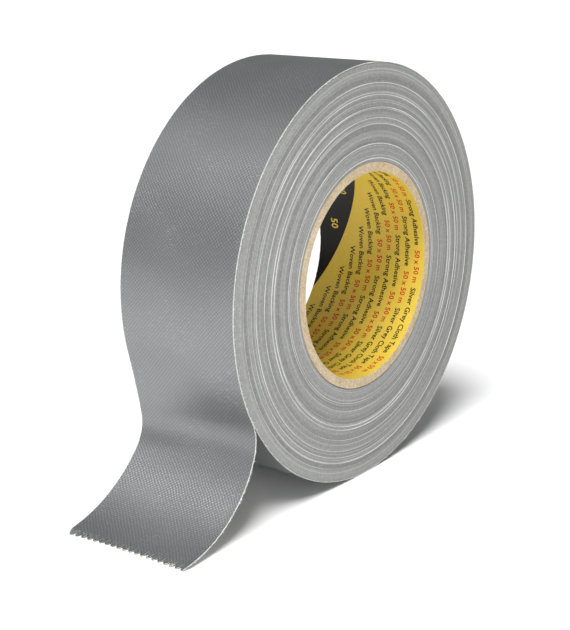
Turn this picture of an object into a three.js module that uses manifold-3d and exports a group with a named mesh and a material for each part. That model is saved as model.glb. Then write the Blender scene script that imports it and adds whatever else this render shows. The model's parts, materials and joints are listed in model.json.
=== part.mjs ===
// A roll of silver cloth tape, wound on a paperboard core. The roll stands on its rim. The end of
// the tape is peeled off it and bends down and away, and its cut end rests on the same surface.
//
// Millimetres and degrees. The roll's axis lies along Y, the free end points to -X, +Z is up, and
// the origin is on the surface, under the middle of the whole object. Angles round the roll and
// headings along the peeled tape run from +X towards +Z.

import * as THREE from "three";
import { mergeVertices } from "three/addons/utils/BufferGeometryUtils.js";
import Module from "manifold-3d";

// The roll.
const tapeWidth = 50;
const rollRadius = 76.8; // to the outside of the last turn, where the tape peels off

// The core: a printed liner, plies of board wound over it, and a smooth outer wrap.
const boreRadius = 38.1;
const linerThickness = 0.15;
const plyThickness = 0.66;
const plyCount = 5;
const wrapThickness = 0.15;

// The tape, from its outside to its sticky side.
const filmThickness = 0.08;
const clothThickness = 0.08;
const adhesiveThickness = 0.1;

// The peeled tape: a tight bend just past the peel line, then a long easy one to the cut end.
const peelAngle = 206.5;
const bendRadius = 20;
const bendAngle = 55;
const endDip = 5; // how steeply the cut end meets the surface
const foldGap = 0.3; // left open across each line where the tape folds
const scallopPitch = 2.5;
const scallopDepth = 1.2;

// How finely curves are divided.
const facetAngle = 5; // round the roll
const foldStep = 5; // along the peeled tape
const scallopSteps = 6; // along one scallop

const tapeThickness = filmThickness + clothThickness + adhesiveThickness;
const rad = THREE.MathUtils.degToRad;
const deg = THREE.MathUtils.radToDeg;

const materials = {
  liner: finish(0xd9b23c, 0.45),
  board: finish(0xb08d57, 0.9),
  wrap: finish(0xc9ad7c, 0.85),
  tape: finish(0xa9aaa8, 0.7),
  film: finish(0x8f9193, 0.4),
  cloth: finish(0xd8d6cc, 0.9),
  adhesive: finish(0xbcbcb6, 0.3),
};

function finish(color, roughness) {
  return new THREE.MeshStandardMaterial({ color, roughness, metalness: 0 });
}

// The point that lies `radius` from `centre` in the direction of `angle`.
function around(centre, radius, angle) {
  return new THREE.Vector2(
    centre.x + radius * Math.cos(rad(angle)),
    centre.y + radius * Math.sin(rad(angle)),
  );
}

const axis = new THREE.Vector2(0, 0);

// The facet edges between two angles. One facet faces straight down, so that the roll has a foot.
function facetEdges(from, to) {
  const edges = [];
  const turned = (k) => (k + 0.5) * facetAngle - 90;
  let k = Math.floor((from + 90) / facetAngle - 0.5) + 1;
  for (; turned(k) < to; k++) edges.push(turned(k));
  return edges;
}

function circle(radius) {
  return facetEdges(0, 360).map((angle) => around(axis, radius, angle));
}

// A side outline in the XZ plane, carried across the tape's width.
function acrossWidth(outline, hole) {
  const shape = new THREE.Shape(outline);
  if (hole) shape.holes.push(new THREE.Path(hole));
  const geometry = new THREE.ExtrudeGeometry(shape, { depth: tapeWidth, bevelEnabled: false });
  return geometry.translate(0, 0, -tapeWidth / 2).rotateX(Math.PI / 2);
}

function piece(name, geometry, material) {
  const mesh = new THREE.Mesh(geometry, material);
  mesh.name = name;
  return mesh;
}

// ---- Core ----

function tube(name, inside, thickness, material) {
  return piece(name, acrossWidth(circle(inside + thickness), circle(inside)), material);
}

function makeCore() {
  const firstPly = boreRadius + linerThickness;
  const core = [tube("core_liner", boreRadius, linerThickness, materials.liner)];
  for (let i = 0; i < plyCount; i++) {
    const inside = firstPly + i * plyThickness;
    core.push(tube(`core_ply_${i + 1}`, inside, plyThickness, materials.board));
  }
  core.push(tube("core_outer_wrap", coreRadius - wrapThickness, wrapThickness, materials.wrap));
  return core;
}

const coreRadius = boreRadius + linerThickness + plyCount * plyThickness + wrapThickness;

// ---- Tape on the roll ----

// The tape's layers, as depths below its outside.
const layers = [
  { name: "film", from: 0, to: filmThickness, material: materials.film },
  {
    name: "cloth",
    from: filmThickness,
    to: filmThickness + clothThickness,
    material: materials.cloth,
  },
  {
    name: "adhesive",
    from: filmThickness + clothThickness,
    to: tapeThickness,
    material: materials.adhesive,
  },
];

// The last turn runs from under the peel line right round to it, and climbs by one thickness.
const lastTurnAngles = [
  peelAngle - 360,
  ...facetEdges(peelAngle - 360, peelAngle),
  peelAngle,
];

function lastTurnLine(depth) {
  return lastTurnAngles.map((angle) => {
    const below = (tapeThickness * (peelAngle - angle)) / 360;
    return around(axis, rollRadius - below - depth, angle);
  });
}

function strip(outside, inside) {
  return acrossWidth([...outside, ...inside.toReversed()]);
}

function makeWoundTape() {
  const tape = acrossWidth(lastTurnLine(tapeThickness), circle(coreRadius));
  const lastTurn = layers.map((layer) =>
    piece(
      `last_turn_${layer.name}`,
      strip(lastTurnLine(layer.from), lastTurnLine(layer.to)),
      layer.material,
    ),
  );
  return [piece("wound_tape", tape, materials.tape), ...lastTurn];
}

// ---- Peeled tape ----

// Headings of the tape where it leaves the roll, between its two bends, and at its cut end.
const peelHeading = peelAngle + 90;
const foldHeading = peelHeading - bendAngle;
const endHeading = 180 + endDip;

// The roll's foot is the underside of its lowest facet.
const axisHeight = -Math.min(...lastTurnLine(0).map((point) => point.y));

// The long bend's radius lands the cut end's sticky side on the surface.
const peelPoint = around(axis, rollRadius, peelAngle);
const bendCentre = around(peelPoint, -bendRadius, peelHeading + 90);
const foldPoint = around(bendCentre, bendRadius, foldHeading + 90);
const endHeight = tapeThickness * Math.cos(rad(endDip)) - axisHeight;
const restRadius =
  (foldPoint.y - endHeight) / (Math.cos(rad(foldHeading)) - Math.cos(rad(endHeading)));
const restCentre = around(foldPoint, -restRadius, foldHeading + 90);
const endPoint = around(restCentre, restRadius, endHeading + 90);

// A line along a bend at a depth below the tape's outside. The outside is the hollow side.
function bendLine(centre, radius, depth, fromHeading, toHeading) {
  const steps = Math.ceil((fromHeading - toHeading) / foldStep);
  return Array.from({ length: steps + 1 }, (_, i) => {
    const heading = THREE.MathUtils.lerp(fromHeading, toHeading, i / steps);
    return around(centre, radius + depth, heading + 90);
  });
}

function bend(centre, radius, layer, fromHeading, toHeading) {
  const line = (depth) => bendLine(centre, radius, depth, fromHeading, toHeading);
  return strip(line(layer.to), line(layer.from));
}

const wasm = await Module();
wasm.setup();

function solid(geometry) {
  const bare = geometry.clone().deleteAttribute("normal").deleteAttribute("uv");
  const merged = mergeVertices(bare, 1e-4);
  return new wasm.Manifold(
    new wasm.Mesh({
      numProp: 3,
      vertProperties: merged.attributes.position.array,
      triVerts: new Uint32Array(merged.index.array),
    }),
  );
}

function geometryOf(manifold) {
  const mesh = manifold.getMesh();
  return new THREE.BufferGeometry()
    .setAttribute("position", new THREE.BufferAttribute(mesh.vertProperties, 3))
    .setIndex(new THREE.BufferAttribute(mesh.triVerts, 1))
    .toNonIndexed();
}

// What pinking shears take off the end: everything past a row of round scallops.
function scallopCutter() {
  const count = Math.round(tapeWidth / scallopPitch);
  const pitch = tapeWidth / count;
  const reach = 2 * scallopDepth;
  const line = [new THREE.Vector2(-tapeWidth / 2 - reach, reach)];
  for (let i = 0; i <= count * scallopSteps; i++) {
    const across = ((i % scallopSteps) / scallopSteps) * 2 - 1;
    const back = scallopDepth * (1 - Math.sqrt(1 - across * across));
    line.push(new THREE.Vector2((i / scallopSteps) * pitch - tapeWidth / 2, -back));
  }
  line[1].x -= reach;
  line.at(-1).x += reach;
  line.push(new THREE.Vector2(tapeWidth / 2 + reach, reach));
  const cutter = new THREE.ExtrudeGeometry(new THREE.Shape(line), {
    depth: 2 * reach,
    bevelEnabled: false,
  }).translate(0, 0, -reach);
  const across = new THREE.Vector3(0, 1, 0);
  const forward = new THREE.Vector3(Math.cos(rad(endHeading)), 0, Math.sin(rad(endHeading)));
  const up = new THREE.Vector3().crossVectors(across, forward);
  const place = new THREE.Matrix4().makeBasis(across, forward, up);
  place.setPosition(endPoint.x, 0, endPoint.y);
  return solid(cutter.applyMatrix4(place));
}

// Both folds turn about a line across the tape, midway through its thickness.
const halfGap = foldGap / 2;
const peelFold = around(
  bendCentre,
  bendRadius + tapeThickness / 2,
  peelHeading - deg(halfGap / bendRadius) + 90,
);
const restFold = around(bendCentre, bendRadius + tapeThickness / 2, foldHeading + 90);

function makePeeledBend() {
  const from = peelHeading - deg(foldGap / bendRadius);
  const to = foldHeading + deg(halfGap / bendRadius);
  return layers.map((layer) => {
    const geometry = bend(bendCentre, bendRadius, layer, from, to);
    return piece(`peeled_bend_${layer.name}`, geometry, layer.material);
  });
}

function makeFreeEnd() {
  const cutter = scallopCutter();
  const from = foldHeading - deg(halfGap / restRadius);
  return layers.map((layer) => {
    const whole = solid(bend(restCentre, restRadius, layer, from, endHeading));
    return piece(`free_end_${layer.name}`, geometryOf(whole.subtract(cutter)), layer.material);
  });
}

// ---- Assembly ----

// A group that turns about a fold, holding pieces drawn in the roll's frame.
function pivoted(fold, pieces) {
  const group = new THREE.Group();
  group.position.set(fold.x, 0, fold.y);
  for (const mesh of pieces) {
    mesh.geometry.translate(-fold.x, 0, -fold.y);
    group.add(mesh);
  }
  return group;
}

const roll = new THREE.Group();
roll.add(...makeCore(), ...makeWoundTape());
roll.add(pivoted(peelFold, makePeeledBend()), pivoted(restFold, makeFreeEnd()));

const rightmost = Math.max(...lastTurnLine(0).map((point) => point.x));
roll.position.set(-(endPoint.x + rightmost) / 2, 0, axisHeight);

const object = new THREE.Group();
object.add(roll);

export default object;
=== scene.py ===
"""A roll of silver cloth tape, with its end peeled off and resting on a table.

The add-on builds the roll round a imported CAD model. Lengths are in metres, in the model's frame:
the roll's axis lies along Y, the peeled end points to -X, and +Z is up. Angles round the roll and
headings along the tape run from +X towards +Z. The tape's outside is its film and its inside is
its sticky side.
"""

import json
import math
from random import Random

import bmesh
import bpy
from mathutils import Matrix, Vector, noise


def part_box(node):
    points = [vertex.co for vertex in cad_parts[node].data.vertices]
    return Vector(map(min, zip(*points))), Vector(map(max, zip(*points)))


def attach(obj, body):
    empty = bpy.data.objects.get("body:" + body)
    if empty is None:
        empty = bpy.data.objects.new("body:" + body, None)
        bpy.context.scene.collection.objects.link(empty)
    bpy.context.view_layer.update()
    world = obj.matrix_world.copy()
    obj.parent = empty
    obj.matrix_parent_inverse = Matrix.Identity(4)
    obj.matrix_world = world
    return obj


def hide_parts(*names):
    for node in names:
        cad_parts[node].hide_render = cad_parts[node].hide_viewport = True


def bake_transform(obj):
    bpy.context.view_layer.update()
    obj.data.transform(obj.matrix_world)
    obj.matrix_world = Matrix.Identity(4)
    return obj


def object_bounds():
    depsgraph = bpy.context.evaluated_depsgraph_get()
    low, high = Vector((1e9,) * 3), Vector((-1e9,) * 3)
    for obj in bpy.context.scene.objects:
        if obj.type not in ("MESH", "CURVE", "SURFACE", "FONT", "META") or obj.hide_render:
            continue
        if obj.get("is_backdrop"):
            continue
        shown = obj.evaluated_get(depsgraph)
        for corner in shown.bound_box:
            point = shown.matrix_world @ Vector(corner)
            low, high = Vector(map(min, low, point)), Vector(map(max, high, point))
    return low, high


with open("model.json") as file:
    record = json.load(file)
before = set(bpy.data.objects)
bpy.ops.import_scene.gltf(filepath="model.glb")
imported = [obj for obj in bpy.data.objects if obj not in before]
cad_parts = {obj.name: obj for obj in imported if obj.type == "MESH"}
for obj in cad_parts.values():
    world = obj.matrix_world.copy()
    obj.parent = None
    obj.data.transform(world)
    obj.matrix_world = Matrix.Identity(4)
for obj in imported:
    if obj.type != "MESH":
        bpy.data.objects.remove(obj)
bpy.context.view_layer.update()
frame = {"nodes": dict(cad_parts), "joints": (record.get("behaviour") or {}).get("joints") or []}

bl_info = {
    "name": "Peeled Cloth Tape Roll",
    "version": (1, 0, 0),
    "blender": (4, 5, 0),
    "location": "View3D > Sidebar > Cloth Tape",
    "description": "Builds a roll of silver cloth tape with its end peeled off",
    "category": "Add Mesh",
}

MM = 0.001
WHITE = (1.0, 1.0, 1.0)
LAYERS = ("film", "cloth", "adhesive")
SHARP_ANGLE = math.radians(40)
INK_THICKNESS = 0.05 * MM
RING_SEGMENTS = 360
CHIPS_PER_METRE = 700  # along a knife-cut paper edge
CLOTH_PROUD = 0.1 * MM  # how far the cloth's slit edge stands past the film and the adhesive
THREADS_SHOWN = 0.8  # the share of the cross threads whose cut ends stick out
THREAD_JITTER = 0.3 * MM  # how unevenly they are spaced
THREAD_ROOT = 0.04 * MM  # how far inside the tape's edge they start
LOBE_WIDTH = 0.84  # the width of one scallop, as a share of the spacing between two
LOBE_STEPS = 10
CAPITAL_SHARE = 0.73  # the height of the default font's capitals, as a share of its size


# ---- What the frame says ----


def radii(node):
    """The smallest and the largest distance of a CAD node's corners from the roll's axis."""
    corners = [corner.co - AXIS for corner in frame["nodes"][node].data.vertices]
    reach = [math.hypot(corner.x, corner.z) for corner in corners]
    return min(reach), max(reach)


def hinge(name):
    """The point that a CAD joint turns about."""
    return Vector(next(joint["pos_m"] for joint in frame["joints"] if joint["name"] == name))


AXIS = sum(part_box("core_liner"), Vector()) / 2
HALF_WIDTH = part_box("wound_tape")[1].y
BORE_RADIUS, LINER_RADIUS = radii("core_liner")
CORE_RADIUS = radii("core_outer_wrap")[1]
ROLL_RADIUS = radii("last_turn_film")[1]
TAPE_THICKNESS = ROLL_RADIUS - radii("wound_tape")[1]
PEEL_HINGE = hinge("peel_lift")
FOLD_HINGE = hinge("free_end_lift")
PEEL_ANGLE = math.atan2(PEEL_HINGE.z - AXIS.z, PEEL_HINGE.x - AXIS.x) % math.tau


def layer_thickness(layer):
    """A layer's thickness. On the last turn it also climbs by one thickness of the tape."""
    low, high = radii(f"last_turn_{layer}")
    return high - low - TAPE_THICKNESS


# ---- Sizes and colours that a user would change ----


def linear(code):
    """An sRGB hex colour as linear red, green and blue."""
    shares = [int(code[i : i + 2], 16) / 255 for i in (0, 2, 4)]
    return tuple(c / 12.92 if c <= 0.04045 else ((c + 0.055) / 1.055) ** 2.4 for c in shares)


def length(name, default, description):
    return bpy.props.FloatProperty(
        name=name, description=description, default=default, min=0, unit="LENGTH", precision=5
    )


def angle(name, degrees, description):
    return bpy.props.FloatProperty(
        name=name, description=description, default=math.radians(degrees), subtype="ANGLE"
    )


def count(name, default, description):
    return bpy.props.IntProperty(name=name, description=description, default=default, min=1)


def colour(name, code, description):
    return bpy.props.FloatVectorProperty(
        name=name, description=description, default=linear(code), subtype="COLOR", min=0, max=1
    )


class ClothTapeRoll(bpy.types.PropertyGroup):
    """The wound tape."""

    roll_radius: length("Roll radius", ROLL_RADIUS, "From the axis to the outside of the tape")
    core_radius: length("Core radius", CORE_RADIUS, "From the axis to the first turn of tape")
    half_width: length("Half width", HALF_WIDTH, "Half of the tape's width")
    thickness: length("Tape thickness", TAPE_THICKNESS, "Film, cloth and adhesive together")
    points: count("Points per turn", 96, "How finely each turn is divided")
    edge_rounding: length("Edge rounding", 0.03 * MM, "How far the slit edge is rounded off")
    drift: length("Sideways drift", 0.16 * MM, "How far turns stand proud of their neighbours")
    thread_pitch: length("Thread pitch", 0.7 * MM, "Spacing of the cloth's drawn threads")
    thread_length: length("Thread length", 0.32 * MM, "How far a cut cross thread sticks out")
    thread_thickness: length("Thread thickness", 0.15 * MM, "Thickness of a cut cross thread")


class ClothTapePeel(bpy.types.PropertyGroup):
    """The peeled tape. The near edge is the one at -Y, and the far edge the one at +Y."""

    seam: angle("Seam", 192, "Where the peeled pieces start, upstream of the peel line")
    leave_near: angle("Leaves at, near edge", 208.4, "Where the near edge leaves the roll")
    leave_far: angle("Leaves at, far edge", 195.2, "Where the far edge leaves the roll")
    free_near: length("Straight run, near edge", 0.0, "Nearly straight tape before the bend")
    free_far: length("Straight run, far edge", 24.2 * MM, "Nearly straight tape before the bend")
    free_radius: length("Straight run's radius", 319 * MM, "How little the straight run bends")
    bend_near: length("Bend radius, near edge", 15.8 * MM, "Radius of the tight bend")
    bend_far: length("Bend radius, far edge", 15.0 * MM, "Radius of the tight bend")
    bend_angle: angle("Bend angle", 48.9, "How far the tight bend turns")
    rest_near: length("Rest radius, near edge", 40.2 * MM, "Radius of the long bend")
    rest_far: length("Rest radius, far edge", 52.6 * MM, "Radius of the long bend")
    softness: length("Softness", 3.0 * MM, "Length over which one bend eases into the next")
    total: length("Peeled length", 82.6 * MM, "From the seam to the cut end")
    split: length("Split", 33.0 * MM, "From the seam to where the free end starts")
    fold: length("Fold", 11.0 * MM, "Length of tape over which a lifted fold turns")
    curl_radius: length("Curl radius", 3.0 * MM, "How tightly the cut end curls down")
    lobes: count("Lobes", 20, "Scallops in the cut end")
    lobe_depth: length("Lobe depth", 2.9 * MM, "How deep the scallops are")


class ClothTapeLiner(bpy.types.PropertyGroup):
    """The printing on the paper inside the core."""

    letter: length("Letter height", 2.3 * MM, "Height of the small capitals")
    weight: bpy.props.FloatProperty(
        name="Weight", description="How bold the letters are", default=0.018, min=0
    )
    mark: length("Mark height", 3.3 * MM, "Height of the figures on the dark band")
    marks: count("Marks", 5, "How many figures there are")
    mark_margin: length("Mark margin", 8.0 * MM, "From the first row to the first figure")
    mark_drop: length("Mark drop", 8.4 * MM, "Spacing of the figures across the bore")
    mark_lead: length("Mark lead", 17.8 * MM, "From the dark band's edge to a figure")
    rows: count("Rows", 11, "Rows of words")
    row_pitch: length("Row pitch", 4.33 * MM, "Spacing of the rows")
    margin: length("Margin", 2.1 * MM, "From the front edge to the first row")
    gap: length("Word gap", 2.0 * MM, "Space between the words of a row")
    lead: length("Lead", 16.0 * MM, "From the dark band to the first word, round the bore")
    band_angle: angle("Band angle", 117, "Where the dark band's edge meets the first row")
    band_slope: angle("Band slope", 26, "The helix angle of the dark band")
    band_width: length("Band width", 66 * MM, "The dark band's width, round the bore")


class ClothTapeColours(bpy.types.PropertyGroup):
    """Colours of the finishes."""

    film: colour("Film", "8b8c8d", "Silver-grey polyethylene film")
    edge: colour("Slit edges", "868785", "The flat face that the edges of the turns make")
    edge_pale: colour("Pale edges", "d9d9d7", "Turns whose cloth shows")
    cloth: colour("Cloth", "d3d4cf", "Unbleached cotton threads")
    adhesive: colour("Adhesive", "a3a39a", "Natural rubber adhesive")
    board: colour("Board", "b7a282", "Grey-brown paperboard")
    board_pale: colour("Board fibres", "d6c8ae", "Pale fibres of the cut board")
    liner: colour("Liner", "d8bb48", "Yellow printed paper")
    liner_dark: colour("Dark band", "100e0a", "Black printed band")
    ink_red: colour("Red ink", "c0280f", "Red words")


class ClothTapeStage(bpy.types.PropertyGroup):
    """The camera, the lights and the floor."""

    azimuth: angle("Azimuth", -52.22, "The camera's direction round the roll")
    elevation: angle("Elevation", 16.13, "The camera's height above the horizon")
    distance: length("Distance", 0.4761, "From the camera to the point that it aims at")
    aim: bpy.props.FloatVectorProperty(
        name="Aim",
        description="The point that the camera aims at, from the roll's axis",
        default=(-0.0106, 0.0054, -0.0176),
        subtype="TRANSLATION",
    )
    lens: bpy.props.FloatProperty(
        name="Focal length", description="The camera's lens", default=72.57, unit="CAMERA"
    )
    floor_size: length("Floor size", 30.0, "Side of the white floor")
    ambient: bpy.props.FloatProperty(
        name="Ambient", description="Strength of the white surroundings", default=0.18, min=0
    )
    glow: bpy.props.FloatProperty(
        name="Glow", description="Power of the low panel", default=1.0, min=0, unit="POWER"
    )
    glow_size: length("Glow size", 0.25, "Width of the low panel")
    glow_place: bpy.props.FloatVectorProperty(
        name="Glow place",
        description="Where the low panel is",
        default=(-0.2, -0.24, 0.05),
        subtype="TRANSLATION",
    )


def settings():
    return bpy.context.scene.cloth_tape


class ClothTapeSettings(bpy.types.PropertyGroup):
    """Everything that the operators read."""

    roll: bpy.props.PointerProperty(type=ClothTapeRoll)
    peel: bpy.props.PointerProperty(type=ClothTapePeel)
    liner: bpy.props.PointerProperty(type=ClothTapeLiner)
    colours: bpy.props.PointerProperty(type=ClothTapeColours)
    stage: bpy.props.PointerProperty(type=ClothTapeStage)


# ---- Making nodes, meshes and pieces ----


def set_inputs(tree, node, inputs):
    """Sets a node's inputs by name or, from a plain sequence, in order.

    An input is a value, a socket, or a node whose first output is used.
    """
    for name, value in inputs.items() if isinstance(inputs, dict) else enumerate(inputs):
        if isinstance(value, bpy.types.Node):
            value = value.outputs[0]
        if isinstance(value, bpy.types.NodeSocket):
            tree.links.new(value, node.inputs[name])
        else:
            node.inputs[name].default_value = value


def add_node(tree, kind, inputs=(), **options):
    """Adds a node with its options, its values and its links."""
    made = tree.nodes.new(kind)
    for option, value in options.items():
        setattr(made, option, value)
    set_inputs(tree, made, inputs)
    return made


def link_object(name, data):
    made = bpy.data.objects.new(name, data)
    bpy.context.scene.collection.objects.link(made)
    return made


def finish_piece(piece, material, nodes):
    """Gives a piece its material and its slot, and lets it stand for its CAD nodes."""
    if material:
        piece.data.materials.clear()
        piece.data.materials.append(material)
    piece.data.polygons.foreach_set("use_smooth", [True] * len(piece.data.polygons))
    piece.data.set_sharp_from_angle(angle=SHARP_ANGLE)
    if nodes:
        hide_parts(*nodes)
    return piece


def face_out(mesh):
    """Turns a closed mesh's faces outwards."""
    work = bmesh.new()
    work.from_mesh(mesh)
    bmesh.ops.recalc_face_normals(work, faces=work.faces)
    if work.calc_volume(signed=True) < 0:
        bmesh.ops.reverse_faces(work, faces=work.faces)
    work.to_mesh(mesh)
    work.free()


def grid_piece(name, rows, ring_around=False):
    """A closed mesh from rows of (point, uv) pairs, where each row is a closed loop.

    Rows follow each other along the piece. With ring_around the last row joins the first, and
    otherwise each end is closed by a face between the row's two halves.
    """
    size = len(rows[0])
    mesh = bpy.data.meshes.new(name)
    corners = rows[:-1] if ring_around else rows
    total = len(corners) * size
    faces = []
    marks = []
    for i in range(len(rows) - 1):
        for j in range(size):
            k = (j + 1) % size
            loop = [(i, j), (i, k), (i + 1, k), (i + 1, j)]
            faces.append([(row * size + place) % total for row, place in loop])
            marks.append([rows[row][place][1] for row, place in loop])
    if not ring_around:
        for i in (0, len(rows) - 1):
            for j in range(size // 2 - 1):
                loop = [j, j + 1, size - 2 - j, size - 1 - j]
                faces.append([i * size + k for k in loop])
                marks.append([rows[i][k][1] for k in loop])
    mesh.from_pydata([point for row in corners for point, _ in row], [], faces)
    layer = mesh.uv_layers.new(name="Tape")
    layer.data.foreach_set("uv", [value for face in marks for uv in face for value in uv])
    face_out(mesh)
    return link_object(name, mesh)


def new_tree(name, **inputs):
    """A Geometry Nodes tree with named inputs. Returns it with its group input."""
    tree = bpy.data.node_groups.new(name, "GeometryNodeTree")
    for label, kind in inputs.items():
        label = label.replace("_", " ").capitalize()
        tree.interface.new_socket(label, in_out="INPUT", socket_type=f"NodeSocket{kind}")
    tree.interface.new_socket("Geometry", in_out="OUTPUT", socket_type="NodeSocketGeometry")
    return tree, add_node(tree, "NodeGroupInput").outputs


def position_parts(tree):
    """The X, Y and Z of each point of the shape that a node works on."""
    position = add_node(tree, "GeometryNodeInputPosition")
    return add_node(tree, "ShaderNodeSeparateXYZ", (position,)).outputs


def close_tree(tree, shape, material):
    """Ends a tree in Realize Instances and Set Material."""
    whole = add_node(tree, "GeometryNodeRealizeInstances", {"Geometry": shape})
    done = add_node(tree, "GeometryNodeSetMaterial", {"Geometry": whole, "Material": material})
    add_node(tree, "NodeGroupOutput", {"Geometry": done})


def grow(name, tree, base=None, **values):
    """Runs a Geometry Nodes tree on a mesh and keeps the result as a plain mesh."""
    piece = link_object(name, base or bpy.data.meshes.new(name))
    modifier = piece.modifiers.new("Build", "NODES")
    modifier.node_group = tree
    sockets = {
        item.name: item.identifier
        for item in tree.interface.items_tree
        if item.in_out == "INPUT"
    }
    for label, value in values.items():
        modifier[sockets[label.replace("_", " ").capitalize()]] = value
    graph = bpy.context.evaluated_depsgraph_get()
    made = bpy.data.meshes.new_from_object(piece.evaluated_get(graph), depsgraph=graph)
    piece.modifiers.remove(modifier)
    piece.data = made
    made.name = name
    return piece


# ---- Materials ----


def new_material(name, **values):
    """A material with its Principled shader, whose plain values are set on its own sockets."""
    material = bpy.data.materials.new(name)
    material.use_nodes = True
    shader = material.node_tree.nodes["Principled BSDF"]
    for label, value in values.items():
        shader.inputs[label.replace("_", " ")].default_value = value
    return material, material.node_tree, shader


def shared(maker):
    """The material that a function makes, made once and then used again."""
    for material in bpy.data.materials:
        if material.get("maker") == maker.__name__:
            return material
    material = maker()
    material["maker"] = maker.__name__
    return material


def rgba(colour, shade=1.0):
    """A linear colour with its alpha, lightened or darkened by shade."""
    return (*(shade * part for part in colour), 1.0)


def patchy(tree, vector, stretch, detail=2.0, roughness=0.5):
    """Noise on a vector whose axes are first scaled, so stretch is how fine it is along each."""
    mapped = add_node(tree, "ShaderNodeMapping", {"Vector": vector, "Scale": stretch})
    return add_node(
        tree,
        "ShaderNodeTexNoise",
        {"Vector": mapped, "Scale": 1.0, "Detail": detail, "Roughness": roughness},
    )


def along_strip(tree, turn, per_turn, start, detail=1.0):
    """Noise that changes with each turn of the wound strip. Start sets two such noises apart."""
    place = add_node(tree, "ShaderNodeMath", (turn, per_turn, start), operation="MULTIPLY_ADD")
    return add_node(
        tree,
        "ShaderNodeTexNoise",
        {"W": place, "Scale": 1.0, "Detail": detail},
        noise_dimensions="1D",
    )


def strength(tree, *patterns):
    """How strongly patterns show together, as the product of their smoothly mapped values.

    Each pattern is followed by its low and high values, and by the strengths that they map to
    where those aren't 0 and 1.
    """
    shares = [
        add_node(tree, "ShaderNodeMapRange", pattern, interpolation_type="SMOOTHSTEP")
        for pattern in patterns
    ]
    total = shares[0]
    for share in shares[1:]:
        total = add_node(tree, "ShaderNodeMath", (total, share), operation="MULTIPLY")
    return total


def layered(tree, tone, *layers):
    """A tone with others laid over it in turn. Each layer is its tone and its strength."""
    for over, share in layers:
        mixed = add_node(tree, "ShaderNodeMix", {0: share, 6: tone, 7: over}, data_type="RGBA")
        tone = mixed.outputs[2]
    return tone


def cover(tree, shader, tone, relief, depth, **inputs):
    """Gives a shader its colour, its relief with a depth, and any other inputs that vary."""
    bump = add_node(tree, "ShaderNodeBump", {"Height": relief, "Distance": depth})
    set_inputs(tree, shader, {"Base Color": tone, "Normal": bump, **inputs})


def weave(tree, uv, across, along):
    """A plain weave's height, which peaks at every second crossing, where a warp thread is on top.

    The threads wander a little, so the rows of crossings aren't quite straight.
    """
    pitch = settings().roll.thread_pitch / MM
    wander = patchy(tree, uv, (0.15, 0.15, 1), 1.0)
    crowns = []
    for position in (across, along):
        moved = add_node(
            tree, "ShaderNodeMath", (wander, pitch, position), operation="MULTIPLY_ADD"
        )
        phase = add_node(tree, "ShaderNodeMath", (moved, math.pi / pitch), operation="MULTIPLY")
        crowns.append(add_node(tree, "ShaderNodeMath", (phase,), operation="COSINE"))
    both = add_node(tree, "ShaderNodeMath", crowns, operation="MULTIPLY")
    return add_node(tree, "ShaderNodeMath", (both, 0.5, 0.5), operation="MULTIPLY_ADD")


def tape_coordinates(tree):
    """The piece's own UV map, in millimetres: across the tape and along it."""
    uv = add_node(tree, "ShaderNodeUVMap", uv_map="Tape").outputs[0]
    parts = add_node(tree, "ShaderNodeSeparateXYZ", (uv,))
    return uv, parts.outputs[0], parts.outputs[1]


def polyethylene_film():
    """Calendered low-density polyethylene with aluminium pigment, pressed on a woven cloth.

    The pigment's flakes make it partly metallic, so it gives a satin sheen that goes dark where
    it faces dark surroundings. Each raised crossing of the cloth gets a pale dot of painted
    highlight, and the hollows between the crossings get painted shade. Thick slubs in the yarn
    make pale flecks. The film is worn pale along both edges.
    The cloth's real mesh is about 0.45 mm. It is drawn coarser here, so that it shows.
    """
    colours = settings().colours
    film = colours.film
    material, tree, shader = new_material(
        "Calendered polyethylene film", Metallic=0.75, Roughness=0.38, IOR=1.51
    )
    uv, across, along = tape_coordinates(tree)
    cloth = weave(tree, uv, across, along)
    fleck = patchy(tree, uv, (1.3, 1.0, 1), 1.0)
    slub = patchy(tree, uv, (0.4, 3.0, 1), 1.0)
    patch = patchy(tree, uv, (0.05, 0.05, 1), 1.0)
    broad = patchy(tree, uv, (0.03, 0.05, 1))
    slubs = strength(tree, (slub, 0.59, 0.74), (patch, 0.46, 0.64, 0.03, 0.7))
    out = add_node(tree, "ShaderNodeMath", (across,), operation="ABSOLUTE")
    edge = HALF_WIDTH / MM
    worn = strength(tree, (out, edge - 0.27, edge - 0.08), (fleck, 0.25, 0.6, 0.4, 0.9))
    tone = layered(
        tree,
        rgba(film, 0.95),
        (rgba(film, 1.05), strength(tree, (broad, 0.3, 0.7))),
        # Painted shade darkens the hollows between the weave's crossings.
        (rgba(film, 0.66), strength(tree, (cloth, 0.5, 0.05, 0.0, 0.45))),
        # Painted highlights lighten the weave's raised crossings, where the flecks allow.
        (rgba(film, 1.75), strength(tree, (cloth, 0.6, 0.95), (fleck, 0.3, 0.7, 0.15, 0.75))),
        (rgba(film, 1.8), slubs),
        (rgba(colours.cloth), worn),
    )
    relief = add_node(tree, "ShaderNodeMath", (slubs, 0.5, cloth), operation="MULTIPLY_ADD")
    cover(
        tree,
        shader,
        tone,
        relief,
        0.09 * MM,
        Metallic=strength(tree, (worn, 0.0, 1.0, 0.75, 0.0)),
        Roughness=strength(tree, (fleck, 0.3, 0.7, 0.34, 0.43)),
    )
    return material


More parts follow.
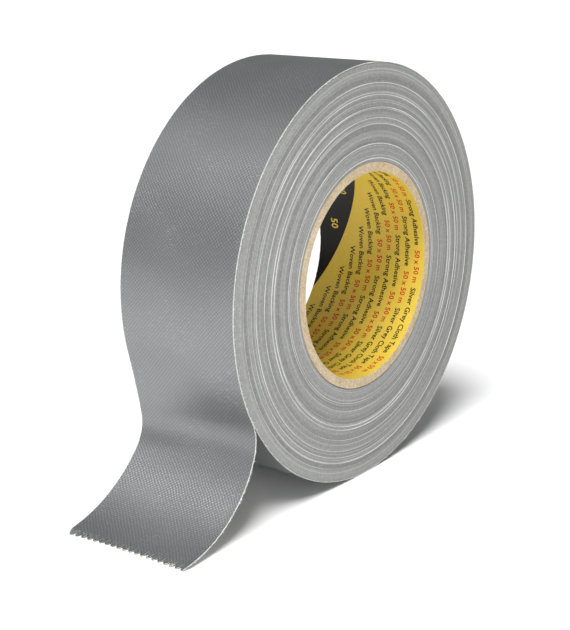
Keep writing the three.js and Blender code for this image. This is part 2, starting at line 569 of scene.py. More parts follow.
def cotton_cloth():
    """Unbleached cotton gauze. It shows at the tape's edges as a pale, matt, fuzzy line."""
    cotton = settings().colours.cloth
    material, tree, shader = new_material(
        "Unbleached cotton gauze", Roughness=0.9, Specular_IOR_Level=0.2, Sheen_Weight=0.3
    )
    uv, across, along = tape_coordinates(tree)
    cloth = weave(tree, uv, across, along)
    fibres = patchy(tree, uv, (3.0, 3.0, 1), 3.0)
    tone = layered(
        tree, rgba(cotton, 0.86), (rgba(cotton, 1.05), strength(tree, (fibres, 0.3, 0.7)))
    )
    relief = add_node(tree, "ShaderNodeMath", (fibres, 0.4, cloth), operation="MULTIPLY_ADD")
    cover(tree, shader, tone, relief, 0.06 * MM)
    return material


def cotton_thread():
    """A cut end of carded cotton yarn: matt and off-white, a little darker in its twist."""
    cotton = settings().colours.cloth
    material, tree, shader = new_material(
        "Carded cotton yarn", Roughness=0.95, Specular_IOR_Level=0.1, Sheen_Weight=0.4
    )
    place = add_node(tree, "ShaderNodeTexCoord").outputs["Object"]
    twist = patchy(tree, place, (9000, 9000, 9000))
    tone = layered(
        tree, rgba(cotton, 0.85), (rgba(cotton, 1.1), strength(tree, (twist, 0.3, 0.7)))
    )
    cover(tree, shader, tone, twist, 0.02 * MM)
    return material


def rubber_adhesive():
    """Hot-spread natural rubber adhesive. It is wet-looking, and the cloth dimples it."""
    rubber = settings().colours.adhesive
    material, tree, shader = new_material(
        "Natural rubber adhesive", Roughness=0.3, IOR=1.52, Coat_Weight=0.25, Coat_Roughness=0.15
    )
    uv, across, along = tape_coordinates(tree)
    cloth = weave(tree, uv, across, along)
    spread_marks = patchy(tree, uv, (0.5, 0.05, 1), 3.0)
    blot = patchy(tree, uv, (0.25, 0.25, 1), 3.0)
    tone = layered(
        tree,
        rgba(rubber, 0.88),
        (rgba(rubber, 1.06), strength(tree, (spread_marks, 0.35, 0.65))),
        (rgba(rubber, 1.25), strength(tree, (cloth, 0.5, 1.0, 0.0, 0.3))),
    )
    relief = add_node(
        tree, "ShaderNodeMath", (spread_marks, 1.2, cloth), operation="MULTIPLY_ADD"
    )
    wetness = strength(tree, (blot, 0.35, 0.65, 0.2, 0.42))
    cover(tree, shader, tone, relief, 0.05 * MM, Roughness=wetness)
    return material


def slit_edges():
    """The razor-slit edges of the turns, side by side.

    They give concentric rings, most of them mid-grey film and adhesive. Where a turn's cloth
    stands out it makes a paler line, often for only part of its way round, and the cut ends of
    the cross threads make a fine speckle.
    """
    edge = settings().colours.edge
    pale = rgba(settings().colours.edge_pale)
    material, tree, shader = new_material(
        "Slit edges of cloth tape", Roughness=0.55, Specular_IOR_Level=0.4
    )
    turn = add_node(tree, "ShaderNodeAttribute", attribute_name="turn").outputs["Fac"]
    proud = add_node(tree, "ShaderNodeAttribute", attribute_name="proud").outputs["Fac"]
    place = add_node(tree, "ShaderNodeTexCoord").outputs["Object"]
    # A turn that has drifted to the front stands proud there, and is sunk at the back.
    across = add_node(tree, "ShaderNodeSeparateXYZ", (place,)).outputs[1]
    side = add_node(tree, "ShaderNodeMath", (across,), operation="SIGN")
    outwards = add_node(tree, "ShaderNodeMath", (side, -1.0), operation="MULTIPLY")
    raised = add_node(tree, "ShaderNodeMath", (proud, outwards), operation="MULTIPLY")
    fine = along_strip(tree, turn, 0.9, 0.0, 0.0)
    middle = along_strip(tree, turn, 0.22, 31.0)
    broad = along_strip(tree, turn, 0.06, 77.0)
    speckle = patchy(tree, place, (1300, 1300, 1300), 2.0, 0.6)
    patch = patchy(tree, place, (45, 45, 45))
    tone = layered(
        tree,
        rgba(edge, 0.84),
        (rgba(edge, 1.2), strength(tree, (broad, 0.38, 0.62))),
        (rgba(edge, 1.45), strength(tree, (middle, 0.45, 0.7, 0.0, 0.7))),
        (rgba(edge, 0.76), strength(tree, (fine, 0.25, 0.7, 0.5, 0.0))),
        (pale, strength(tree, (raised, 0.3, 0.9), (patch, 0.35, 0.6, 0.55, 1.0))),
        (pale, strength(tree, (speckle, 0.4, 0.75, 0.0, 0.16))),
        (rgba(edge, 0.6), strength(tree, (speckle, 0.5, 0.25, 0.0, 0.2))),
    )
    gloss = strength(tree, (speckle, 0.3, 0.7, 0.42, 0.68))
    cover(tree, shader, tone, speckle, 0.025 * MM, Roughness=gloss)
    return material


def wound_paperboard():
    """Grey-brown paperboard from recycled fibre, knife-cut across its plies.

    The cut end is matt and fibrous, paler than the flat of the board, with darker specks.
    """
    board = settings().colours.board
    pale = rgba(settings().colours.board_pale)
    material, tree, shader = new_material(
        "Cut wound paperboard", Roughness=0.92, Specular_IOR_Level=0.15
    )
    place = add_node(tree, "ShaderNodeTexCoord").outputs["Object"]
    fibre = patchy(tree, place, (1500, 500, 1500), 4.0, 0.65)
    clump = patchy(tree, place, (260, 260, 260), 3.0)
    speck = patchy(tree, place, (1100, 1100, 1100), 1.0)
    tone = layered(
        tree,
        rgba(board),
        (pale, strength(tree, (fibre, 0.35, 0.65, 0.1, 0.9))),
        (rgba(board, 0.9), strength(tree, (clump, 0.35, 0.65, 0.0, 0.45))),
        (rgba(board, 0.4), strength(tree, (speck, 0.68, 0.8, 0.0, 0.6))),
    )
    relief = add_node(tree, "ShaderNodeMath", (fibre, clump), operation="ADD")
    cover(tree, shader, tone, relief, 0.15 * MM)
    return material


def kraft_wrap():
    """Machine-glazed kraft paper, glued over the board. It is smooth, with long faint fibres."""
    kraft = settings().colours.board
    material, tree, shader = new_material(
        "Machine-glazed kraft paper", Roughness=0.75, Specular_IOR_Level=0.25
    )
    uv = tape_coordinates(tree)[0]
    fibre = patchy(tree, uv, (0.4, 3.0, 1), 4.0)
    tone = layered(
        tree, rgba(kraft, 0.85), (rgba(kraft, 1.15), strength(tree, (fibre, 0.3, 0.7)))
    )
    cover(tree, shader, tone, fibre, 0.03 * MM)
    return material


def band_edge_at(y):
    """Where the dark band's edge lies round the bore, in radians, at a place across it."""
    liner = settings().liner
    first_row = -HALF_WIDTH + liner.margin
    return liner.band_angle - (y - first_row) / (math.tan(liner.band_slope) * BORE_RADIUS)


def printed_liner():
    """Coated paper, printed yellow with a dark helical band, and varnished.

    It is satin and faintly mottled. The band runs round the bore on a helix, as the paper is wound.
    """
    colours = settings().colours
    liner = settings().liner
    material, tree, shader = new_material(
        "Varnished printed paper", Roughness=0.42, Specular_IOR_Level=0.18
    )
    uv, across, around = tape_coordinates(tree)
    # Arc length round the bore, measured from the dark band's edge on the same line across.
    slope = 1 / math.tan(liner.band_slope)
    start = band_edge_at(0.0) * BORE_RADIUS / MM
    once = math.tau * BORE_RADIUS / MM
    lean = add_node(tree, "ShaderNodeMath", (across, slope, around), operation="MULTIPLY_ADD")
    past = add_node(tree, "ShaderNodeMath", (lean, start), operation="SUBTRACT")
    past = add_node(tree, "ShaderNodeMath", (past, once, 0.0), operation="WRAP")
    width = liner.band_width / MM
    inside = add_node(tree, "ShaderNodeMath", (past, width), operation="LESS_THAN")
    mottle = patchy(tree, uv, (1.2, 1.2, 1), 4.0)
    cloud = patchy(tree, uv, (0.12, 0.12, 1))
    mottled = strength(tree, (mottle, 0.3, 0.7))
    band = layered(
        tree, rgba(colours.liner_dark, 0.8), (rgba(colours.liner_dark, 1.3), mottled)
    )
    tone = layered(
        tree,
        rgba(colours.liner, 0.94),
        (rgba(colours.liner, 1.04), mottled),
        (rgba(colours.liner, 0.86), strength(tree, (cloud, 0.3, 0.7, 0.0, 0.3))),
        (band, inside),
    )
    gloss = strength(tree, (mottle, 0.3, 0.7, 0.32, 0.46))
    cover(tree, shader, tone, mottle, 0.02 * MM, Roughness=gloss)
    return material


def ink(name, value):
    """Offset printing ink under varnish: flat and satin, a little uneven in density."""
    material, tree, shader = new_material(name, Roughness=0.5, Specular_IOR_Level=0.2)
    place = add_node(tree, "ShaderNodeTexCoord").outputs["Object"]
    density = patchy(tree, place, (1500, 1500, 1500), 3.0)
    dense = strength(tree, (density, 0.3, 0.7))
    tone = layered(tree, rgba(value, 0.85), (rgba(value, 1.15), dense))
    gloss = strength(tree, (density, 0.3, 0.7, 0.34, 0.5))
    set_inputs(tree, shader, {"Base Color": tone, "Roughness": gloss})
    return material


# ---- The core ----


def round_axis(radius, turned, y):
    """A point at a radius and an angle round the roll's axis."""
    return Vector((AXIS.x + radius * math.cos(turned), y, AXIS.z + radius * math.sin(turned)))


def ring_piece(name, inside, outside, steps, roughness):
    """A closed ring round the axis, whose two cut ends are roughened by up to roughness."""
    rows = []
    for i in range(RING_SEGMENTS + 1):
        turned = math.tau * i / RING_SEGMENTS
        row = []
        for side in (-1, 1):
            for step in range(steps + 1):
                share = step / steps if side < 0 else 1 - step / steps
                radius = mix(inside, outside, share)
                at = round_axis(radius, turned, 0)
                # The third number sets the two cut ends apart, so that they aren't worn alike.
                worn = noise.noise(
                    Vector((at.x * CHIPS_PER_METRE, 13.3 * side, at.z * CHIPS_PER_METRE))
                )
                chip = roughness * (0.5 + 0.5 * worn)
                if step in (0, steps):
                    chip += 0.3 * roughness
                at.y = side * (HALF_WIDTH - chip)
                row.append((at, (at.y / MM, turned * inside / MM)))
        rows.append(row)
    return grid_piece(name, rows, ring_around=True)


class CLOTHTAPE_OT_core_board(bpy.types.Operator):
    """Wind the plies of the core and its outer wrap"""

    bl_idname = "cloth_tape.core_board"
    bl_label = "Core Board"

    def execute(self, context):
        board = wound_paperboard()
        plies = sorted(node for node in frame["nodes"] if node.startswith("core_ply"))
        for node in plies:
            inside, outside = radii(node)
            ply = ring_piece(f"board_{node[5:]}", inside, outside, steps=4, roughness=0.09 * MM)
            finish_piece(ply, board, [node])
            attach(ply, "roll")
        inside, outside = radii("core_outer_wrap")
        wrap = ring_piece("kraft_wrap", inside, outside, steps=1, roughness=0.2 * MM)
        finish_piece(wrap, kraft_wrap(), ["core_outer_wrap"])
        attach(wrap, "roll")
        return {"FINISHED"}


def set_words(words, size, weight):
    """A flat, slightly thick mesh of words in the default font. Words are (text, place) pairs.

    Weight is how far each letter's outline is moved out, as a share of the letters' size.
    """
    work = bmesh.new()
    for text, place in words:
        letters = bpy.data.curves.new("Letters", "FONT")
        letters.body = text
        letters.size = size
        letters.offset = weight * size
        letters.extrude = INK_THICKNESS / 2
        letters.resolution_u = 2
        typed = link_object("Letters", letters)
        graph = bpy.context.evaluated_depsgraph_get()
        word = bpy.data.meshes.new_from_object(typed.evaluated_get(graph), depsgraph=graph)
        word.transform(Matrix.Translation((place, 0, 0)))
        work.from_mesh(word)
        bpy.data.meshes.remove(word)
        bpy.data.curves.remove(letters)
    bmesh.ops.remove_doubles(work, verts=work.verts, dist=0.002 * MM)
    row = bpy.data.meshes.new("Words")
    work.to_mesh(row)
    work.free()
    return row


def word_length(text, size, weight):
    """How long a word is when it is set in the default font."""
    word = set_words([(text, 0.0)], size, weight)
    reach = max(corner.co.x for corner in word.vertices)
    bpy.data.meshes.remove(word)
    return reach


def print_tree(material):
    """A tree that repeats a row of words and lays the rows on the inside of the bore.

    Rows repeat towards the back, each one shifted by a step round the bore.
    """
    tree, given = new_tree(
        "Printed words",
        words="Geometry",
        rows="Int",
        row_step="Vector",
        first_row="Float",
        start_angle="Float",
        bore_radius="Float",
        axis="Vector",
    )
    places = add_node(
        tree, "GeometryNodeMeshLine", {"Count": given["Rows"], "Offset": given["Row step"]}
    )
    repeated = add_node(
        tree, "GeometryNodeInstanceOnPoints", {"Points": places, "Instance": given["Words"]}
    )
    sheet = add_node(tree, "GeometryNodeRealizeInstances", {"Geometry": repeated})
    at = position_parts(tree)
    bore = given["Bore radius"]
    arc = add_node(tree, "ShaderNodeMath", (at[0], bore), operation="DIVIDE")
    turned = add_node(tree, "ShaderNodeMath", (given["Start angle"], arc), operation="SUBTRACT")
    reach = add_node(tree, "ShaderNodeMath", (bore, at[2]), operation="SUBTRACT")
    across = add_node(tree, "ShaderNodeMath", (given["First row"], at[1]), operation="SUBTRACT")
    cosine = add_node(tree, "ShaderNodeMath", (turned,), operation="COSINE")
    sine = add_node(tree, "ShaderNodeMath", (turned,), operation="SINE")
    out = add_node(tree, "ShaderNodeMath", (reach, cosine), operation="MULTIPLY")
    up = add_node(tree, "ShaderNodeMath", (reach, sine), operation="MULTIPLY")
    wrapped = add_node(tree, "ShaderNodeCombineXYZ", (out, across, up))
    placed = add_node(tree, "ShaderNodeVectorMath", (wrapped, given["Axis"]), operation="ADD")
    done = add_node(tree, "GeometryNodeSetPosition", {"Geometry": sheet, "Position": placed})
    close_tree(tree, done, material)
    return tree


def printed_rows(name, row, material, **values):
    """Prints rows of words on the inside of the bore, as a piece of its own."""
    values.update(bore_radius=BORE_RADIUS, axis=(AXIS.x, 0.0, AXIS.z))
    piece = grow(name, print_tree(material), row, **values)
    face_out(piece.data)
    finish_piece(piece, None, [])
    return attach(piece, "roll")


class CLOTHTAPE_OT_core_liner(bpy.types.Operator):
    """Line the core with printed paper"""

    bl_idname = "cloth_tape.core_liner"
    bl_label = "Printed Liner"

    # Plain descriptions stand in for a maker's print. Sizes are red, and the rest is black.
    SIZE = "50 x 50 m"
    ROW = ("Woven Backing", SIZE, "Strong Adhesive", SIZE, "Silver Grey Cloth Tape", SIZE)

    def execute(self, context):
        liner = settings().liner
        colours = settings().colours
        paper = ring_piece(
            "printed_paper", BORE_RADIUS, LINER_RADIUS, steps=1, roughness=0.25 * MM
        )
        finish_piece(paper, printed_liner(), ["core_liner"])
        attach(paper, "roll")

        size = liner.letter / CAPITAL_SHARE
        place = 0.0
        words = {True: [], False: []}
        for text in self.ROW:
            words[text[0].isdigit()].append((text, place))
            place += word_length(text, size, liner.weight) + liner.gap
        first_row = -HALF_WIDTH + liner.margin
        step = liner.row_pitch / math.tan(liner.band_slope)
        start = liner.band_angle - liner.lead / BORE_RADIUS
        for name, sort, value in (
            ("black_words", False, colours.liner_dark),
            ("red_words", True, colours.ink_red),
        ):
            printed_rows(
                name,
                set_words(words[sort], size, liner.weight),
                ink(name.replace("_words", " offset ink").capitalize(), value),
                rows=liner.rows,
                row_step=(step, -liner.row_pitch, 0.0),
                first_row=first_row + liner.letter,
                start_angle=start,
            )
        first_mark = first_row + liner.mark_margin
        printed_rows(
            "yellow_figures",
            set_words([("50", 0.0)], liner.mark / CAPITAL_SHARE, liner.weight),
            ink("Yellow offset ink", colours.liner),
            rows=liner.marks,
            row_step=(liner.mark_drop / math.tan(liner.band_slope), -liner.mark_drop, 0.0),
            first_row=first_mark,
            start_angle=band_edge_at(first_mark) + liner.mark_lead / BORE_RADIUS,
        )
        return {"FINISHED"}


# ---- The wound tape ----


def wound_tree():
    """A tree that winds a flat strip in a spiral, edge to the side, and lets its turns drift."""
    tree, given = new_tree(
        "Wound tape",
        turns="Float",
        points_per_turn="Int",
        inside_radius="Float",
        outside_radius="Float",
        half_width="Float",
        thickness="Float",
        edge_rounding="Float",
        sideways_drift="Float",
        start_angle="Vector",
        axis="Vector",
        material="Material",
    )
    spiral = add_node(
        tree,
        "GeometryNodeCurveSpiral",
        {
            "Resolution": given["Points per turn"],
            "Rotations": given["Turns"],
            "Start Radius": given["Inside radius"],
            "End Radius": given["Outside radius"],
            "Height": 0.0,
        },
    )
    index = add_node(tree, "GeometryNodeInputIndex")
    turn = add_node(
        tree, "ShaderNodeMath", (index, given["Points per turn"]), operation="DIVIDE"
    )

    def wander(per_turn, start):
        """Noise along the strip, from about -1 to 1."""
        value = along_strip(tree, turn, per_turn, start)
        return add_node(tree, "ShaderNodeMath", (value, 3.2, -1.6), operation="MULTIPLY_ADD")

    proud = wander(0.55, 40.0)
    marked = spiral
    for name, value in (("turn", turn), ("proud", proud)):
        marked = add_node(
            tree,
            "GeometryNodeStoreNamedAttribute",
            {"Geometry": marked, "Name": name, "Value": value},
            data_type="FLOAT",
            domain="POINT",
        )
    # The cube leaves most turns nearly level and lets a few stand out.
    cube = add_node(tree, "ShaderNodeMath", (proud, 3.0), operation="POWER")
    slow = wander(0.05, 5.0)
    drift = add_node(tree, "ShaderNodeMath", (slow, 0.6, cube), operation="MULTIPLY_ADD")
    shift = add_node(
        tree, "ShaderNodeMath", (drift, given["Sideways drift"]), operation="MULTIPLY"
    )
    offset = add_node(tree, "ShaderNodeCombineXYZ", {"Z": shift})
    drifted = add_node(tree, "GeometryNodeSetPosition", {"Geometry": marked, "Offset": offset})
    upright = add_node(tree, "GeometryNodeSetCurveNormal", {"Curve": drifted}, mode="Z_UP")

    # The strip's section: a hexagon, pulled out to a flat bar whose two ends come to a low ridge.
    hexagon = add_node(tree, "GeometryNodeCurvePrimitiveCircle", {"Resolution": 6, "Radius": 1.0})
    at = position_parts(tree)
    lift = 2 / math.sqrt(3)
    height = add_node(tree, "ShaderNodeMath", (at[1],), operation="ABSOLUTE")
    corner = add_node(tree, "ShaderNodeMath", (height, lift), operation="MULTIPLY")
    set_in = add_node(
        tree, "ShaderNodeMath", (corner, given["Edge rounding"]), operation="MULTIPLY"
    )
    out = add_node(tree, "ShaderNodeMath", (given["Half width"], set_in), operation="SUBTRACT")
    side = add_node(tree, "ShaderNodeMath", (at[0],), operation="SIGN")
    end = add_node(tree, "ShaderNodeMath", (side, out), operation="MULTIPLY")
    level = add_node(tree, "ShaderNodeMath", (at[1], lift / 2), operation="MULTIPLY")
    depth = add_node(tree, "ShaderNodeMath", (level, given["Thickness"]), operation="MULTIPLY")
    section = add_node(tree, "ShaderNodeCombineXYZ", {"X": depth, "Y": end})
    bar = add_node(tree, "GeometryNodeSetPosition", {"Geometry": hexagon, "Position": section})
    strip = add_node(
        tree,
        "GeometryNodeCurveToMesh",
        {"Curve": upright, "Profile Curve": bar, "Fill Caps": True},
    )
    turned = add_node(
        tree, "GeometryNodeTransform", {"Geometry": strip, "Rotation": given["Start angle"]}
    )
    stood = add_node(
        tree,
        "GeometryNodeTransform",
        {"Geometry": turned, "Rotation": (math.pi / 2, 0, 0), "Translation": given["Axis"]},
    )
    close_tree(tree, stood, given["Material"])
    return tree


class CLOTHTAPE_OT_wound_tape(bpy.types.Operator):
    """Wind the turns that lie under the last one"""

    bl_idname = "cloth_tape.wound_tape"
    bl_label = "Wound Tape"

    def execute(self, context):
        roll = settings().roll
        first = roll.core_radius + roll.thickness / 2
        last = roll.roll_radius - 1.5 * roll.thickness
        turns = (last - first) / roll.thickness
        piece = grow(
            "wound_turns",
            wound_tree(),
            turns=turns,
            points_per_turn=roll.points,
            inside_radius=first,
            outside_radius=last,
            half_width=roll.half_width,
            thickness=roll.thickness,
            edge_rounding=roll.edge_rounding,
            sideways_drift=roll.drift,
            start_angle=(0.0, 0.0, PEEL_ANGLE - math.tau * turns),
            axis=(AXIS.x, 0.0, AXIS.z),
            material=slit_edges(),
        )
        face_out(piece.data)
        finish_piece(piece, None, ["wound_tape"])
        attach(piece, "roll")
        return {"FINISHED"}


# ---- The last turn and the peeled tape ----


def ease(value, start, length):
    """0 before start, 1 past start + length, and smooth between."""
    share = min(max((value - start) / length, 0.0), 1.0)
    return share * share * (3 - 2 * share)


def mix(first, second, share):
    return first + (second - first) * share


class TapeLine:
    """One line along the tape's outside, at one place across it.

    Distance is measured from the seam. Before the line leaves the roll it follows the spiral,
    and after that its curvature says where it goes.
    """

    STEP = 0.25 * MM
    TABLE_CLEARANCE = 0.1 * MM

    def __init__(self, across):
        peel = settings().peel
        self.across = across
        side = (across + HALF_WIDTH) / (2 * HALF_WIDTH)
        leave = mix(peel.leave_near, peel.leave_far, side)
        free = mix(peel.free_near, peel.free_far, side)
        bend = mix(peel.bend_near, peel.bend_far, side)
        rest = mix(peel.rest_near, peel.rest_far, side)
        # Easing takes a length of its own, which is centred on each change of curvature.
        soft = peel.softness
        leave -= soft / 2 / ROLL_RADIUS
        free += soft / 2
        self.start = (leave - peel.seam) * ROLL_RADIUS
        bend_end = free + peel.bend_angle * bend
        heading = leave + math.pi / 2
        at = round_axis(self.radius(leave), leave, across)
        self.places = [(at.copy(), heading)]
        steps = int((peel.total - self.start) / self.STEP) + 2
        for i in range(steps):
            far = i * self.STEP
            curve = mix(1 / ROLL_RADIUS, -1 / peel.free_radius, ease(far, 0, soft))
            curve = mix(curve, -1 / bend, ease(far, free - soft / 2, soft))
            curve = mix(curve, -1 / rest, ease(far, bend_end - soft / 2, soft))
            # The cut end curls down, over the length of its scallops.
            curl = ease(far + self.start, peel.total - 1.2 * peel.lobe_depth, peel.lobe_depth / 2)
            curve = mix(curve, 1 / peel.curl_radius, curl)
            heading += curve * self.STEP
            # What reaches the table lies flat on it.
            if at.z < TAPE_THICKNESS + self.TABLE_CLEARANCE and heading > math.pi:
                heading = math.pi
            at += Vector((math.cos(heading), 0, math.sin(heading))) * self.STEP
            self.places.append((at.copy(), heading))

    @staticmethod
    def radius(turned):
        """The spiral's outside radius on the last turn."""
        return ROLL_RADIUS - TAPE_THICKNESS * (PEEL_ANGLE - turned) / math.tau

    def point(self, distance, depth):
        """The point at a distance along the line and a depth below the tape's outside."""
        if distance <= self.start:
            turned = settings().peel.seam + distance / ROLL_RADIUS
            return round_axis(self.radius(turned) - depth, turned, self.across)
        place = min((distance - self.start) / self.STEP, len(self.places) - 1.001)
        i = int(place)
        (here, heading), (there, next_heading) = self.places[i], self.places[i + 1]
        inward = mix(heading, next_heading, place - i) + math.pi / 2
        at = here.lerp(there, place - i)
        return at + Vector((math.cos(inward), 0, math.sin(inward))) * depth


def spread(first, last, step):
    """Evenly spaced values from first to last, about a step apart."""
    pieces = max(1, round((last - first) / step))
    return [mix(first, last, i / pieces) for i in range(pieces + 1)]


def lobe_columns():
    """Places across the tape, as shares of its width, closer together at the lobes' notches."""
    lobes = settings().peel.lobes
    shares = []
    for i in range(lobes * LOBE_STEPS + 1):
        lobe, step = divmod(i, LOBE_STEPS)
        shares.append((lobe + 0.5 - 0.5 * math.cos(math.pi * step / LOBE_STEPS)) / lobes)
    return shares


def cut_back(share):
    """How far the cut end lies behind the lobes' tips, at a share of the width."""
    peel = settings().peel
    off = min(abs(((share * peel.lobes) % 1.0) * 2 - 1) / LOBE_WIDTH, 1.0)
    return peel.lobe_depth * (1 - math.sqrt(1 - off * off))


LAYER_FINISHES = {
    "film": polyethylene_film,
    "cloth": cotton_cloth,
    "adhesive": rubber_adhesive,
}


def tape_slab(name, layer, distances, shares, scalloped=False):
    """One layer of a stretch of tape, as a closed thin slab."""
    top = sum(layer_thickness(other) for other in LAYERS[: LAYERS.index(layer)])
    bottom = top + layer_thickness(layer)
    half = HALF_WIDTH + (CLOTH_PROUD if layer == "cloth" else 0.0)
    lines = [TapeLine((2 * share - 1) * half) for share in shares]
    first, last = distances[0], distances[-1]
    rows = []
    for distance in distances:
        row = []
        for depth, order in ((top, 1), (bottom, -1)):
            for line, share in list(zip(lines, shares))[::order]:
                back = cut_back(share) * (distance - first) / (last - first) if scalloped else 0
                at = line.point(distance - back, depth)
                row.append((at, (line.across / MM, (distance - back) / MM)))
        rows.append(row)
    return grid_piece(name, rows)


def thread_tree(material):
    """A tree that puts a short, bent thread end on each point, along the point's own direction."""
    tree, given = new_tree(
        "Thread ends",
        points="Geometry",
        thread_length="Float",
        thread_thickness="Float",
        disorder="Vector",
        seed="Int",
    )
    tip = add_node(tree, "ShaderNodeCombineXYZ", {"Z": given["Thread length"]})
    line = add_node(tree, "GeometryNodeCurvePrimitiveLine", {"End": tip})
    cut = add_node(tree, "GeometryNodeResampleCurve", {"Curve": line, "Count": 4})
    along = position_parts(tree)[2]
    share = add_node(tree, "ShaderNodeMath", (along, given["Thread length"]), operation="DIVIDE")
    bow = add_node(tree, "ShaderNodeMath", (share, along), operation="MULTIPLY")
    lean = add_node(tree, "ShaderNodeMath", (bow, 0.5), operation="MULTIPLY")
    sideways = add_node(tree, "ShaderNodeCombineXYZ", {"X": lean})
    bent = add_node(tree, "GeometryNodeSetPosition", {"Geometry": cut, "Offset": sideways})
    half = add_node(
        tree, "ShaderNodeMath", (given["Thread thickness"], 0.5), operation="MULTIPLY"
    )
    section = add_node(tree, "GeometryNodeCurvePrimitiveCircle", {"Resolution": 5, "Radius": half})
    stub = add_node(
        tree,
        "GeometryNodeCurveToMesh",
        {"Curve": bent, "Profile Curve": section, "Fill Caps": True},
    )
    way = add_node(
        tree, "GeometryNodeInputNamedAttribute", {"Name": "out"}, data_type="FLOAT_VECTOR"
    )
    less = add_node(
        tree, "ShaderNodeVectorMath", {0: given["Disorder"], "Scale": -1.0}, operation="SCALE"
    )
    jitter = add_node(
        tree,
        "FunctionNodeRandomValue",
        {0: less, 1: given["Disorder"], "Seed": given["Seed"]},
        data_type="FLOAT_VECTOR",
    )
    aim = add_node(tree, "ShaderNodeVectorMath", (way, jitter), operation="ADD")
    turned = add_node(tree, "FunctionNodeAlignRotationToVector", {"Vector": aim}, axis="Z")
    # Between a third and one and a half times the usual size.
    size = add_node(
        tree,
        "FunctionNodeRandomValue",
        {2: 0.35, 3: 1.6, "Seed": given["Seed"]},
        data_type="FLOAT",
    )
    dots = add_node(tree, "GeometryNodeMeshToPoints", {"Mesh": given["Points"]})
    placed = add_node(
        tree,
        "GeometryNodeInstanceOnPoints",
        {"Points": dots, "Instance": stub, "Rotation": turned, "Scale": size.outputs[1]},
    )
    close_tree(tree, placed, material)
    return tree


def thread_ends(name, distances):
    """Frayed thread ends along both edges of a stretch of tape."""
    roll = settings().roll
    depth = layer_thickness("film") + layer_thickness("cloth") / 2
    random = Random(name)
    places = []
    for side in (-1, 1):
        line = TapeLine(side * (HALF_WIDTH - THREAD_ROOT))
        for distance in distances:
            if random.random() < THREADS_SHOWN:
                shift = random.uniform(-THREAD_JITTER, THREAD_JITTER)
                places.append((line.point(distance + shift, depth), Vector((0, side, 0))))
    points = bpy.data.meshes.new(name)
    points.from_pydata([at for at, _ in places], [], [])
    out = points.attributes.new("out", "FLOAT_VECTOR", "POINT")
    out.data.foreach_set("vector", [value for _, way in places for value in way])
    piece = grow(
        name,
        thread_tree(shared(cotton_thread)),
        points,
        thread_length=roll.thread_length,
        thread_thickness=roll.thread_thickness,
        disorder=(0.5, 0.3, 0.5),
        seed=7,
    )
    face_out(piece.data)
    return finish_piece(piece, None, [])


class CLOTHTAPE_OT_last_turn(bpy.types.Operator):
    """Lay the last turn on the roll"""

    bl_idname = "cloth_tape.last_turn"
    bl_label = "Last Turn"

    def execute(self, context):
        peel = settings().peel
        start = (PEEL_ANGLE - math.tau - peel.seam) * ROLL_RADIUS
        shares = spread(0.0, 1.0, 0.05)
        for layer in LAYERS:
            piece = tape_slab(f"wrapped_{layer}", layer, spread(start, 0.0, 2 * MM), shares)
            finish = shared(LAYER_FINISHES[layer])
            finish_piece(piece, finish, [f"last_turn_{layer}"])
            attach(piece, "roll")
        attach(thread_ends("wrapped_threads", spread(start, 0.0, 0.6 * MM)), "roll")
        return {"FINISHED"}


class CLOTHTAPE_OT_peeled_tape(bpy.types.Operator):
    """Bend the peeled tape down to the table and trim its end in scallops"""

    bl_idname = "cloth_tape.peeled_tape"
    bl_label = "Peeled Tape"

    def execute(self, context):
        peel = settings().peel
        columns = lobe_columns()
        # Which way the tape runs at each hinge: straight down, and then down and outwards.
        down = Vector((0, 0, -1))
        slant = math.radians(232)
        outwards = Vector((math.cos(slant), 0, math.sin(slant)))
        stretches = (
            ("bent", "peeled_bend", "roll", 0.0, peel.split, PEEL_HINGE, down),
            ("free", "free_end", "peeled_bend", peel.split, peel.total, FOLD_HINGE, outwards),
        )
        for name, body, parent, first, last, fold, way in stretches:
            for layer in LAYERS:
                piece = tape_slab(
                    f"{name}_{layer}", layer, spread(first, last, 1 * MM), columns, name == "free"
                )
                finish = shared(LAYER_FINISHES[layer])
                finish_piece(piece, finish, [f"{body}_{layer}"])
                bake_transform(piece)
            fringe = thread_ends(f"{name}_threads", spread(first, last - peel.lobe_depth, 0.5 * MM))
            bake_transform(fringe)
        return {"FINISHED"}


# ---- The stage ----


def direction(azimuth, elevation):
    """The way from the object to a camera or a light. Azimuth 0 is at -Y, and 90 at +X."""
    flat = math.cos(elevation)
    return Vector((math.sin(azimuth) * flat, -math.cos(azimuth) * flat, math.sin(elevation)))


def aim_at(placed, target):
    placed.rotation_euler = (target - placed.location).to_track_quat("-Z", "Y").to_euler()


def set_up_camera(stage):
    target = Vector((AXIS.x, 0, AXIS.z)) + Vector(stage.aim)
    lens = bpy.data.cameras.new("Camera")
    lens.lens = stage.lens
    lens.sensor_width = 36
    lens.clip_start = 0.01
    camera = link_object("Camera", lens)
    camera.location = target + direction(stage.azimuth, stage.elevation) * stage.distance
    aim_at(camera, target)
    bpy.context.scene.camera = camera


# Each light: its direction in degrees (azimuth and elevation, as the camera's), its width as an
# angle, and its strength. Suns light the floor evenly, so that it stays white everywhere.
SUNS = (
    ("Key", -66, 61, 26, 3.75),
    ("Back left", -138, 44, 46, 0.4),
)


def hang_suns():
    middle = Vector((0, 0, AXIS.z))
    for name, azimuth, elevation, width, energy in SUNS:
        sun = bpy.data.lights.new(name, "SUN")
        sun.angle = math.radians(width)
        sun.energy = energy
        lamp = link_object(name, sun)
        lamp.location = middle + direction(math.radians(azimuth), math.radians(elevation))
        aim_at(lamp, middle)


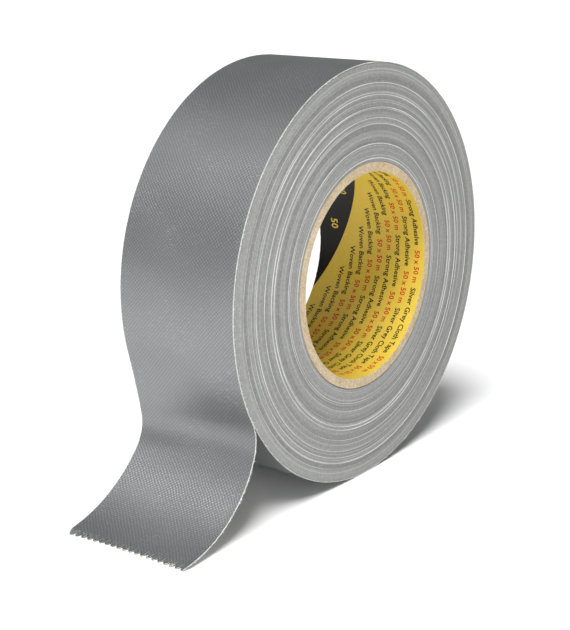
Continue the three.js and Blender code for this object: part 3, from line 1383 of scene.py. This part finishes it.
def set_up_glow(stage):
    """A low panel that shines on the paper in front, which throws the light up at the roll."""
    glow = bpy.data.lights.new("Paper glow", "AREA")
    glow.shape = "DISK"
    glow.size = stage.glow_size
    glow.energy = stage.glow
    panel = link_object("Paper glow", glow)
    panel.location = stage.glow_place
    panel.visible_camera = False


def set_surroundings(stage):
    world = bpy.data.worlds.new("White surroundings")
    world.use_nodes = True
    background = world.node_tree.nodes["Background"]
    set_inputs(world.node_tree, background, {"Color": rgba(WHITE), "Strength": stage.ambient})
    bpy.context.scene.world = world
    bpy.context.scene.view_settings.view_transform = "Standard"


def paper_sweep():
    """A sweep of white backdrop paper: matt, with a very faint grain."""
    paper, tree, shader = new_material("White paper sweep", Roughness=0.8)
    place = add_node(tree, "ShaderNodeTexCoord").outputs["Object"]
    grain = patchy(tree, place, (400, 400, 400))
    set_inputs(
        tree, shader, {"Base Color": layered(tree, rgba(WHITE, 0.93), (rgba(WHITE, 0.95), grain))}
    )
    return paper


def lay_floor(stage):
    low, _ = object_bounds()
    half = stage.floor_size / 2
    mesh = bpy.data.meshes.new("Floor")
    corners = [(-half, -half), (half, -half), (half, half), (-half, half)]
    mesh.from_pydata([(x, y, low.z) for x, y in corners], [], [(0, 1, 2, 3)])
    mesh.materials.append(paper_sweep())
    link_object("Floor", mesh)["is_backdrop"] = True


class CLOTHTAPE_OT_stage(bpy.types.Operator):
    """Set up the camera, a white floor and soft studio lights"""

    bl_idname = "cloth_tape.stage"
    bl_label = "Stage"

    def execute(self, context):
        stage = settings().stage
        set_up_camera(stage)
        hang_suns()
        set_up_glow(stage)
        set_surroundings(stage)
        lay_floor(stage)
        return {"FINISHED"}


# ---- The panel and the build ----

BUILD_ORDER = (
    CLOTHTAPE_OT_core_board,
    CLOTHTAPE_OT_core_liner,
    CLOTHTAPE_OT_wound_tape,
    CLOTHTAPE_OT_last_turn,
    CLOTHTAPE_OT_peeled_tape,
    CLOTHTAPE_OT_stage,
)


class CLOTHTAPE_PT_build(bpy.types.Panel):
    """The operators, in the order in which they build the roll"""

    bl_idname = "CLOTHTAPE_PT_build"
    bl_label = "Cloth Tape Roll"
    bl_space_type = "VIEW_3D"
    bl_region_type = "UI"
    bl_category = "Cloth Tape"

    def draw(self, context):
        for operator in BUILD_ORDER:
            self.layout.operator(operator.bl_idname)


CLASSES = (
    ClothTapeRoll,
    ClothTapePeel,
    ClothTapeLiner,
    ClothTapeColours,
    ClothTapeStage,
    ClothTapeSettings,
    *BUILD_ORDER,
    CLOTHTAPE_PT_build,
)


def register():
    for cls in CLASSES:
        bpy.utils.register_class(cls)
    bpy.types.Scene.cloth_tape = bpy.props.PointerProperty(type=ClothTapeSettings)


def unregister():
    del bpy.types.Scene.cloth_tape
    for cls in reversed(CLASSES):
        bpy.utils.unregister_class(cls)


def main():
    register()
    bpy.ops.cloth_tape.core_board()
    bpy.ops.cloth_tape.core_liner()
    bpy.ops.cloth_tape.wound_tape()
    bpy.ops.cloth_tape.last_turn()
    bpy.ops.cloth_tape.peeled_tape()
    bpy.ops.cloth_tape.stage()


if __name__ == "__main__":
    main()
